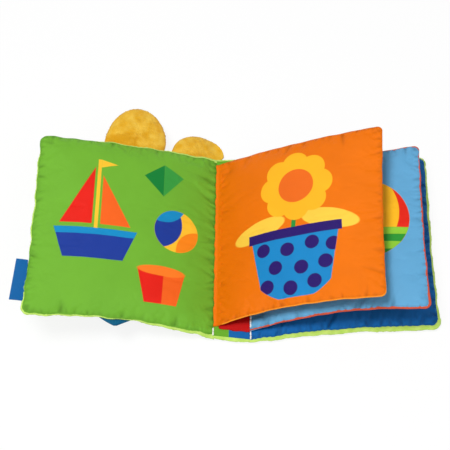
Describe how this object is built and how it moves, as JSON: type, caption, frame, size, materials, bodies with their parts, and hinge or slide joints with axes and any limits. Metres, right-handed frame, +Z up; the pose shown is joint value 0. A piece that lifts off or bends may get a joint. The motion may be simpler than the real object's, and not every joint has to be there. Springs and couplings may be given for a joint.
{
  "type": "rattle book",
  "caption": "Soft cloth picture book for a baby, lying open: padded covers and leaves that turn at sewn folds, with a plush head and a rattle on the front cover.",
  "frame": {"origin": "under the middle of the spine, on the surface that the spine and back cover lie on", "axes": "+X from the spine towards the back cover's outer edge, +Y towards the top of the pages, +Z up"},
  "size_m": [0.3565, 0.2188, 0.063],
  "materials": {
    "lime_velour": "short velour pile",
    "green_satin": "printed satin",
    "blue_satin": "satin",
    "orange_satin": "printed satin",
    "red_satin": "satin",
    "sky_satin": "printed satin",
    "coral_satin": "satin",
    "wadding": "loose fibre",
    "thread": "sewing thread",
    "tag_tape": "woven tape",
    "gold_plush": "long plush pile",
    "cream_plush": "short plush pile",
    "brown_cloth": "dense stitching",
    "blue_cotton": "plain weave",
    "rattle_plastic": "moulded",
    "bead_red": "moulded",
    "bead_yellow": "moulded",
    "bead_blue": "moulded",
    "bead_green": "moulded"
  },
  "bodies": {
    "back_cover": {"back_cover_lining": "blue_satin", "back_cover_wadding": "wadding", "back_cover_velour": "lime_velour", "spine_lining_green": "green_satin", "spine_lining_blue": "blue_satin", "spine_wadding": "wadding", "spine_velour": "lime_velour", "front_fold_stitching": "thread", "back_fold_stitching": "thread", "leaf_strip_underside": "orange_satin", "leaf_strip_top": "red_satin"},
    "front_cover": {"front_cover_lining": "green_satin", "front_cover_wadding": "wadding", "front_cover_velour": "lime_velour", "head_backing": "gold_plush", "head_plush": "gold_plush", "head_stuffing": "wadding", "muzzle": "cream_plush", "nose": "brown_cloth", "eye_left": "brown_cloth", "eye_right": "brown_cloth", "neckerchief_band": "blue_cotton", "rattle_shell_front": "rattle_plastic", "rattle_shell_back": "rattle_plastic"},
    "leaf_1_margin": {"leaf_1_margin": "orange_satin"},
    "leaf_1": {"leaf_1_front_cloth": "orange_satin", "leaf_1_wadding": "wadding", "leaf_1_back_cloth": "red_satin"},
    "leaf_2": {"leaf_2_front_cloth": "sky_satin", "leaf_2_wadding": "wadding", "leaf_2_back_cloth": "coral_satin"},
    "ear_left": {"ear_left": "gold_plush"},
    "ear_right": {"ear_right": "gold_plush"},
    "side_tag": {"side_tag": "tag_tape"},
    "neckerchief_flap": {"neckerchief_flap": "blue_cotton"},
    "rattle_bead_1": {"rattle_bead_1": "bead_red"},
    "rattle_bead_2": {"rattle_bead_2": "bead_yellow"},
    "rattle_bead_3": {"rattle_bead_3": "bead_blue"},
    "rattle_bead_4": {"rattle_bead_4": "bead_green"}
  },
  "joints": [
    {"name": "front_cover_turn", "type": "hinge", "parent": "back_cover", "child": "front_cover", "pos_m": [-0.016, 0, 0.0035], "axis": [0, -1, 0], "range_deg": [-95, 78]},
    {"name": "leaf_2_turn", "type": "hinge", "parent": "back_cover", "child": "leaf_2", "pos_m": [0.0155, 0, 0.0055], "axis": [0, -1, 0], "range_deg": [-4, 82]},
    {"name": "leaf_1_carried", "type": "hinge", "parent": "back_cover", "child": "leaf_1_margin", "pos_m": [-0.013, 0, 0.0055], "axis": [0, -1, 0], "range_deg": [-4, 82]},
    {"name": "leaf_1_turn", "type": "hinge", "parent": "leaf_1_margin", "child": "leaf_1", "pos_m": [-0.013, 0, 0.0055], "axis": [0, -1, 0], "range_deg": [-4, 82]},
    {"name": "ear_left_bend", "type": "hinge", "parent": "front_cover", "child": "ear_left", "pos_m": [-0.10727, 0.05646, 0.0216], "axis": [-0.9105, 0.294, 0.2906], "range_deg": [0, 40], "stiffness_Nm_per_rad": 0.3, "springref_deg": -2.86},
    {"name": "ear_right_bend", "type": "hinge", "parent": "front_cover", "child": "ear_right", "pos_m": [-0.05069, 0.03805, 0.0021], "axis": [-0.9105, 0.294, 0.2906], "range_deg": [0, 40], "stiffness_Nm_per_rad": 0.3, "springref_deg": -2.86},
    {"name": "neckerchief_bend", "type": "hinge", "parent": "front_cover", "child": "neckerchief_flap", "pos_m": [-0.10531, -0.05014, 0.02791], "axis": [0.9105, -0.294, -0.2906], "range_deg": [0, 45], "stiffness_Nm_per_rad": 0.005, "springref_deg": -2.86},
    {"name": "tag_bend", "type": "hinge", "parent": "front_cover", "child": "side_tag", "pos_m": [-0.16781, -0.05542, 0.05195], "axis": [0, -1, 0], "range_deg": [-50, 50], "stiffness_Nm_per_rad": 0.005},
    {"name": "rattle_bead_1_roll", "type": "slide", "parent": "front_cover", "child": "rattle_bead_1", "axis": [0.6736, 0.7071, -0.215], "range_m": [-0.0035, 0.004]},
    {"name": "rattle_bead_2_roll", "type": "slide", "parent": "front_cover", "child": "rattle_bead_2", "axis": [-0.6736, 0.7071, 0.215], "range_m": [-0.0035, 0.004]},
    {"name": "rattle_bead_3_roll", "type": "slide", "parent": "front_cover", "child": "rattle_bead_3", "axis": [-0.6736, -0.7071, 0.215], "range_m": [-0.0035, 0.004]},
    {"name": "rattle_bead_4_roll", "type": "slide", "parent": "front_cover", "child": "rattle_bead_4", "axis": [0.6736, -0.7071, -0.215], "range_m": [-0.0035, 0.004]}
  ],
  "couplings": [
    {"joint": "leaf_1_carried", "follows": "leaf_2_turn", "ratio": 1}
  ]
}
